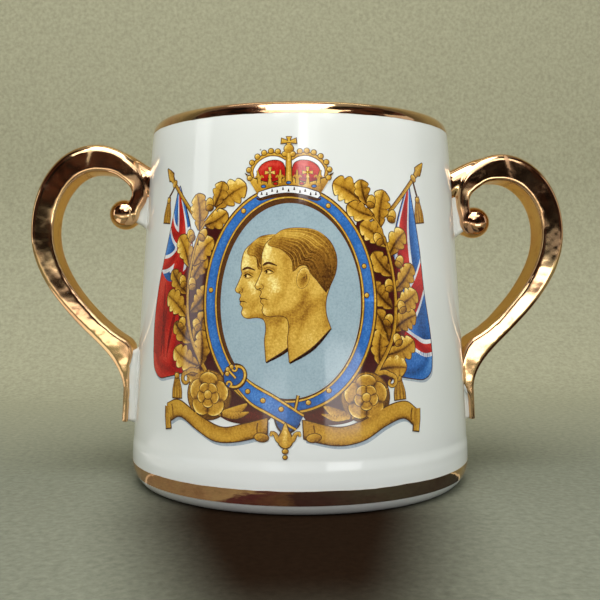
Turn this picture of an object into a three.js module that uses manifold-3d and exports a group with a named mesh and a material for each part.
// Two-handled commemorative cup in glazed white earthenware, with gilt scroll handles and gilt lines.
// Millimetres, +Z up. The origin is the centre of the foot's resting face. The handles lie along X,
// and the decorated front looks along -Y.
import * as THREE from "three";
import { mergeVertices } from "three/addons/utils/BufferGeometryUtils.js";
import Module from "manifold-3d";

const wasm = await Module();
wasm.setup();

// Driving dimensions of the pot
const cupHeight = 82.5;
const footRadius = 36.2; // outer edge of the flat that the cup rests on
const footFlat = 1.6; // width of that flat
const recessDepth = 2; // the hollow under the floor, inside the foot
const recessFillet = 1.2;
const bandBottom = 2.2; // the gilt band round the foot
const bandFootRadius = 38.3; // where the band starts, above the foot's white edge
const beltRadius = 39.5; // the low belt round the base, which is the widest line of the pot
const beltBottom = 5.4; // the band ends where the belt is widest
const beltTop = 9.6;
const beltDraft = 0.1; // the belt's face leans in by this much
const beltRelief = 0.35; // how far the belt stands out from the wall above it
const beltShoulder = 1.4; // height of the soft step over the belt
const lipRadius = 34.5; // outer radius just under the lip
const lipDrop = 2.6; // the lip starts to turn over this far below the top
const wallBelly = 0.21; // how far the wall bows out from a straight taper
const lipThickness = 3;
const wallThickness = 3.3;
const floorThickness = 3.8;
const floorFillet = 8; // inside, where the floor turns up into the wall

// Gilding, laid in shallow rebates as a film that ends flush with the clay
const filmThickness = 0.2;
const gildInside = 1.8; // how far the gilt line runs down inside the lip

// Driving dimensions of the handles. They were put on by eye, so the two differ a little: in the height of the
// crown, and in the heights and the stand-off from the wall of the scroll's neck and its knob.
const leftHandle = { crown: 77.9, neck: 66.6, neckStand: 2.2, knob: 61.7, knobStand: 5.4, knobRadius: 2.8 };
const rightHandle = { crown: 76.4, neck: 65.3, neckStand: 2.9, knob: 60.8, knobStand: 5.8, knobRadius: 3.3 };
const handleReach = 62.4; // outermost line of each handle, from the cup's axis
const crownInset = 15; // from there in to the top of the crown
const bowHeight = 57.5; // where the bow is widest
const armInset = 15.4; // from the outermost line in to the straight of the lower arm
const armHeight = 34.7;
const armLean = 45; // degrees from upright
const tailBottom = 13.6; // the tail runs down the wall to here
const tailTop = 21;
const tailStand = 1.9; // the tail's middle line stands off the wall by this much
const padHeight = 69; // the crown comes down to meet the wall here
const padSink = 1.6; // and runs on this far, where the wall trims it
const strapWidth = 9.6;
const tailThickness = 1.4;
const tailWidth = 8.6;
const armThickness = 4.1;
const bowThickness = 4.5;
const crownThickness = 5.6;
const padThickness = 6.2;
const padWidth = 10.4;
const rootThickness = 4.6; // of the scroll where it leaves the strap
const neckThickness = 3;
const scrollWidth = 9;
const knobSquareness = 0.55; // 1 would be a ball, and 0 a plain drum
const outerRound = 1.7; // corner radii of the strap's section
const innerRound = 0.7;

// Joints of white slip between the handles and the wall
const seatGap = 0.3; // that the handles, the slip and the wall keep to each other
const jointSink = 1; // a joint's outline runs on into the wall by this much, which then trims it
const jointLift = 0.2; // the lower joint ends this far above the tail's end
const upperJointWidth = 7.4;
const upperJointDrop = 1; // below the knob
const lowerJointWidth = 7.8;
const lowerJointTop = 31.6; // on the strap
const lowerJointSlope = 1.4; // and this much lower on the wall

// How finely the round forms are cut
const turnSteps = 72;
const cornerSteps = 3;
const knobSteps = 8;

const glazeWhite = new THREE.MeshStandardMaterial({ color: 0xe6e8e2, roughness: 0.12, metalness: 0 });
const slipWhite = new THREE.MeshStandardMaterial({ color: 0xdfe2dd, roughness: 0.18, metalness: 0 });
const gilt = new THREE.MeshStandardMaterial({ color: 0xb98345, roughness: 0.1, metalness: 1 });

// The pot's profile, as [radius, height] points

// Outer radius of the wall at a height between the belt's shoulder and the lip.
const shoulderHeight = beltTop + beltShoulder;
const lipStart = cupHeight - lipDrop;
function wallRadius(height) {
  const along = (height - shoulderHeight) / (lipStart - shoulderHeight);
  const taper = THREE.MathUtils.lerp(beltRadius - beltRelief, lipRadius, along);
  return taper + 4 * wallBelly * along * (1 - along);
}

// Inner radius of the wall, an even taper from the lip to the start of the floor's curve.
const floorHeight = recessDepth + floorThickness;
const filletTop = floorHeight + floorFillet;
function boreRadius(height) {
  return THREE.MathUtils.mapLinear(
    height,
    filletTop,
    lipStart,
    wallRadius(filletTop) - wallThickness,
    lipRadius - lipThickness,
  );
}

// Points on a quarter or half of an ellipse between two angles in degrees, ends included.
function ellipsePoints(centre, radiusX, radiusY, fromDegrees, toDegrees, steps) {
  const from = THREE.MathUtils.degToRad(fromDegrees);
  const to = THREE.MathUtils.degToRad(toDegrees);
  return new THREE.EllipseCurve(centre.x, centre.y, radiusX, radiusY, from, to, to < from).getPoints(steps);
}

// The gilt band's face, and under it the foot's white edge that turns in to the resting flat.
const bandStart = new THREE.Vector2(bandFootRadius, bandBottom);
const bandEnd = new THREE.Vector2(beltRadius, beltBottom);
const bandLine = new THREE.QuadraticBezierCurve(
  bandStart,
  new THREE.Vector2(beltRadius, (bandBottom + beltBottom) / 2),
  bandEnd,
).getPoints(4);
const footEdge = new THREE.QuadraticBezierCurve(
  new THREE.Vector2(footRadius, 0),
  new THREE.Vector2((footRadius + bandFootRadius) / 2, 0),
  bandStart,
).getPoints(4);

// The gilt lip's face, over the rim and a little way down inside.
const gildLow = lipStart - gildInside;
const lipCentre = new THREE.Vector2(lipRadius - lipThickness / 2, lipStart);
const lipLine = [
  ...ellipsePoints(lipCentre, lipThickness / 2, lipDrop, 0, 180, 8),
  new THREE.Vector2(boreRadius(gildLow), gildLow),
];

// The same points moved square to the line through them, to its left.
function offsetLine(points, distance) {
  return points.map((point, i) => {
    const before = points[Math.max(i - 1, 0)];
    const after = points[Math.min(i + 1, points.length - 1)];
    const along = after.clone().sub(before).normalize();
    return new THREE.Vector2(point.x - along.y * distance, point.y + along.x * distance);
  });
}

const bandSeat = offsetLine(bandLine, filmThickness);
const lipSeat = offsetLine(lipLine, filmThickness);

function wallPoints(clearance) {
  const rows = 6;
  const points = [];
  for (let i = 0; i <= rows; i++) {
    const height = THREE.MathUtils.lerp(shoulderHeight, lipStart, i / rows);
    points.push(new THREE.Vector2(wallRadius(height) + clearance, height));
  }
  return points;
}

function recessPoints() {
  const edge = footRadius - footFlat;
  return [
    new THREE.Vector2(0, recessDepth),
    new THREE.Vector2(edge - 2 * recessFillet, recessDepth),
    new THREE.Vector2(edge - recessFillet, recessDepth - 0.35 * recessFillet),
    new THREE.Vector2(edge - 0.3 * recessFillet, 0.35 * recessFillet),
    new THREE.Vector2(edge, 0),
  ];
}

function borePoints() {
  const corner = new THREE.Vector2(boreRadius(filletTop) - floorFillet, filletTop);
  const fillet = ellipsePoints(corner, floorFillet, floorFillet, 0, -90, 6);
  return [...fillet, new THREE.Vector2(0, floorHeight)];
}

function potProfile() {
  return [
    ...recessPoints(),
    ...footEdge,
    ...bandSeat,
    bandEnd,
    new THREE.Vector2(beltRadius - beltDraft, beltTop),
    ...wallPoints(0),
    ...lipSeat,
    lipLine.at(-1),
    ...borePoints(),
  ];
}

// A profile turned about the cup's axis.
function turned(profile) {
  return new THREE.LatheGeometry(profile, turnSteps).rotateX(Math.PI / 2);
}

// A ring of film between its face and its seat in the clay.
function filmRing(face, seat) {
  return turned([...face, ...seat.toReversed(), face[0]]);
}

// The handles, drawn in the plane of X and Z

// A point at a height, standing off the wall.
function offWall(stand, height) {
  return new THREE.Vector2(wallRadius(height) + stand, height);
}

// The strap's middle line in stretches, each with its thickness and width at the end. It runs from the tail up
// the lower arm, round the bow and the crown, and down into the pad that the wall trims.
function strapRun({ crown }) {
  const tail = offWall(tailStand, tailBottom);
  const heel = offWall(tailStand, tailTop);
  const arm = new THREE.Vector2(handleReach - armInset, armHeight);
  const lean = THREE.MathUtils.degToRad(armLean);
  const up = new THREE.Vector2(Math.sin(lean), Math.cos(lean));
  const bowX = handleReach - bowThickness / 2;
  const crownX = handleReach - crownInset;
  const crownZ = crown - crownThickness / 2;
  const pad = offWall(-padSink, padHeight - padSink);
  const heelRise = armHeight - tailTop;
  const bowRise = bowHeight - armHeight;
  const padRun = crownX - pad.x;
  return {
    start: { thickness: tailThickness, width: tailWidth },
    stretches: [
      { curve: new THREE.LineCurve(tail, heel), steps: 2, thickness: tailThickness, width: tailWidth },
      {
        curve: new THREE.CubicBezierCurve(
          heel,
          new THREE.Vector2(heel.x, tailTop + 0.4 * heelRise),
          arm.clone().addScaledVector(up, -0.33 * heelRise),
          arm,
        ),
        steps: 9,
        thickness: armThickness,
        width: strapWidth,
      },
      {
        curve: new THREE.CubicBezierCurve(
          arm,
          arm.clone().addScaledVector(up, 0.42 * bowRise),
          new THREE.Vector2(bowX, bowHeight - 0.38 * bowRise),
          new THREE.Vector2(bowX, bowHeight),
        ),
        steps: 9,
        thickness: bowThickness,
        width: strapWidth,
      },
      {
        curve: new THREE.EllipseCurve(crownX, bowHeight, bowX - crownX, crownZ - bowHeight, 0, Math.PI / 2),
        steps: 10,
        thickness: crownThickness,
        width: strapWidth,
      },
      {
        curve: new THREE.CubicBezierCurve(
          new THREE.Vector2(crownX, crownZ),
          new THREE.Vector2(crownX - 0.32 * padRun, crownZ),
          new THREE.Vector2(crownX - 0.64 * padRun, crownZ - 0.32 * (crownZ - pad.y)),
          pad,
        ),
        steps: 8,
        thickness: padThickness,
        width: padWidth,
      },
    ],
  };
}

// The scroll's middle line leaves the strap over the neck, and turns out under the knob.
function scrollRun(strap, { neck, neckStand, knob, knobStand, knobRadius }) {
  const root = strap.stretches.at(-1).curve.getPointAt(0.6);
  const neckPoint = offWall(neckStand, neck);
  const centre = offWall(knobStand, knob);
  const foot = new THREE.Vector2(centre.x, centre.y - knobRadius + neckThickness / 2);
  return {
    start: { thickness: rootThickness, width: scrollWidth },
    centre,
    stretches: [
      {
        curve: new THREE.QuadraticBezierCurve(
          root,
          new THREE.Vector2(neckPoint.x, (root.y + neckPoint.y) / 2),
          neckPoint,
        ),
        steps: 6,
        thickness: neckThickness,
        width: scrollWidth,
      },
      {
        curve: new THREE.CubicBezierCurve(
          neckPoint,
          new THREE.Vector2(neckPoint.x, THREE.MathUtils.lerp(neckPoint.y, foot.y, 0.55)),
          new THREE.Vector2(THREE.MathUtils.lerp(foot.x, neckPoint.x, 0.6), foot.y),
          foot,
        ),
        steps: 7,
        thickness: neckThickness,
        width: scrollWidth,
      },
    ],
  };
}

// The strap's section, whose corners are arcs: well rounded on the outer face, crisp on the inner one. Each
// point is [away from the inner face, across the strap].
function sectionRing(halfThickness, halfWidth) {
  const outer = Math.min(outerRound, 0.85 * halfThickness);
  const inner = Math.min(innerRound, 0.85 * halfThickness);
  const corners = [
    { out: 1, across: 1, radius: outer },
    { out: -1, across: 1, radius: inner },
    { out: -1, across: -1, radius: inner },
    { out: 1, across: -1, radius: outer },
  ];
  return corners.flatMap(({ out, across, radius }, quarter) => {
    const centre = new THREE.Vector2(out * (halfThickness - radius), across * (halfWidth - radius));
    const points = ellipsePoints(centre, radius, radius, 90 * quarter, 90 * quarter + 90, cornerSteps);
    return points.map((point) => [point.x, point.y]);
  });
}

// Joins the section's rings along a run into one closed solid, grown all round by a clearance.
function sweep({ start, stretches }, clearance) {
  const rings = [];
  let from = start;
  stretches.forEach(({ curve, steps, thickness, width }, stretch) => {
    for (let i = stretch === 0 ? 0 : 1; i <= steps; i++) {
      const share = i / steps;
      const centre = curve.getPointAt(share);
      const along = curve.getTangentAt(share);
      const eased = THREE.MathUtils.smoothstep(share, 0, 1);
      const halfThickness = THREE.MathUtils.lerp(from.thickness, thickness, eased) / 2 + clearance;
      const halfWidth = THREE.MathUtils.lerp(from.width, width, eased) / 2 + clearance;
      const ring = sectionRing(halfThickness, halfWidth);
      rings.push(ring.map(([out, across]) => [centre.x + out * along.y, across, centre.y - out * along.x]));
    }
    from = { thickness, width };
  });
  const count = rings[0].length;
  const index = [];
  for (let row = 0; row + 1 < rings.length; row++) {
    for (let i = 0; i < count; i++) {
      const here = row * count + i;
      const next = row * count + ((i + 1) % count);
      index.push(here, next, here + count, next, next + count, here + count);
    }
  }
  const last = (rings.length - 1) * count;
  for (let i = 1; i + 1 < count; i++) {
    index.push(0, i + 1, i);
    index.push(last, last + i, last + i + 1);
  }
  const geometry = new THREE.BufferGeometry();
  geometry.setAttribute("position", new THREE.Float32BufferAttribute(rings.flat(2), 3));
  geometry.setIndex(index);
  return geometry;
}

// Solids for the joins and cuts
function toSolid(geometry) {
  const bare = geometry.clone();
  bare.deleteAttribute("normal");
  bare.deleteAttribute("uv");
  const merged = mergeVertices(bare, 1e-4);
  const mesh = new wasm.Mesh({
    numProp: 3,
    vertProperties: merged.attributes.position.array,
    triVerts: new Uint32Array(merged.index.array),
  });
  return new wasm.Manifold(mesh);
}

function toGeometry(solid) {
  const mesh = solid.getMesh();
  const geometry = new THREE.BufferGeometry();
  geometry.setAttribute("position", new THREE.BufferAttribute(new Float32Array(mesh.vertProperties), 3));
  geometry.setIndex(new THREE.BufferAttribute(new Uint32Array(mesh.triVerts), 1));
  return geometry;
}

// The scroll's knob, a drum with domed ends that lies across the strap.
function knobGeometry(radius, halfWidth) {
  const profile = [];
  for (let i = 0; i <= knobSteps; i++) {
    const angle = Math.PI * (i / knobSteps - 0.5);
    profile.push(new THREE.Vector2(radius * Math.cos(angle) ** knobSquareness, halfWidth * Math.sin(angle)));
  }
  profile[0].x = 0;
  profile[knobSteps].x = 0;
  return new THREE.LatheGeometry(profile, 20);
}

// The whole handle before the wall trims it.
function handleSolid(strap, scroll, { knobRadius }, clearance) {
  const knob = knobGeometry(knobRadius + clearance, scrollWidth / 2 + clearance);
  knob.translate(scroll.centre.x, 0, scroll.centre.y);
  return toSolid(sweep(strap, clearance)).add(toSolid(sweep(scroll, clearance))).add(toSolid(knob));
}

// A slab of slip from its outline, cut back from the wall and the handle.
function joint(outline, width, keepOut) {
  const shape = new THREE.Shape(outline);
  const geometry = new THREE.ExtrudeGeometry(shape, { depth: width, bevelEnabled: false });
  geometry.rotateX(Math.PI / 2);
  geometry.translate(0, width / 2, 0);
  return toSolid(geometry).subtract(keepOut);
}

// Points along a run's stretches, each shared end once.
function runPoints(stretches, steps) {
  return stretches.flatMap(({ curve }, i) => curve.getPoints(steps).slice(i === 0 ? 0 : 1));
}

// Slip behind the scroll's neck, squeezed out under the knob.
function upperJointOutline(scroll, { knobRadius }) {
  const bottom = scroll.centre.y - knobRadius - upperJointDrop;
  return [
    offWall(-jointSink, padHeight),
    ...runPoints(scroll.stretches, 4),
    new THREE.Vector2(scroll.centre.x - 0.3 * knobRadius, bottom),
    offWall(-jointSink, bottom),
  ];
}

// Slip between the tail and the wall, up to where the strap's inner face leaves it.
function lowerJointOutline(strap) {
  const bottom = tailBottom + jointLift;
  const middle = runPoints(strap.stretches.slice(0, 2), 8);
  return [
    offWall(-jointSink, bottom),
    offWall(tailStand, bottom),
    ...middle.filter((point) => point.y > bottom && point.y < lowerJointTop),
    offWall(-jointSink, lowerJointTop - lowerJointSlope),
  ];
}

const cup = new THREE.Group();

function addPiece(name, geometry, material) {
  const mesh = new THREE.Mesh(geometry, material);
  mesh.name = name;
  cup.add(mesh);
}

addPiece("cup_body", turned(potProfile()), glazeWhite);
addPiece("rim_gilding", filmRing(lipLine, lipSeat), gilt);
addPiece("foot_gilding", filmRing(bandLine, bandSeat), gilt);

// The wall as a plug, grown by the clearance that it keeps to the handles and the slip.
const plugLine = wallPoints(seatGap);
const wallPlug = toSolid(
  turned([new THREE.Vector2(0, plugLine[0].y), ...plugLine, new THREE.Vector2(0, plugLine.at(-1).y)]),
);
for (const [side, handle, turn] of [
  ["left", leftHandle, Math.PI],
  ["right", rightHandle, 0],
]) {
  const strap = strapRun(handle);
  const scroll = scrollRun(strap, handle);
  const keepOut = wallPlug.add(handleSolid(strap, scroll, handle, seatGap));
  const pieces = [
    [`${side}_handle`, handleSolid(strap, scroll, handle, 0).subtract(wallPlug), gilt],
    [`${side}_upper_joint`, joint(upperJointOutline(scroll, handle), upperJointWidth, keepOut), slipWhite],
    [`${side}_lower_joint`, joint(lowerJointOutline(strap), lowerJointWidth, keepOut), slipWhite],
  ];
  for (const [name, solid, material] of pieces) {
    const geometry = toGeometry(solid);
    geometry.rotateZ(turn);
    addPiece(name, geometry, material);
  }
}

export default cup;
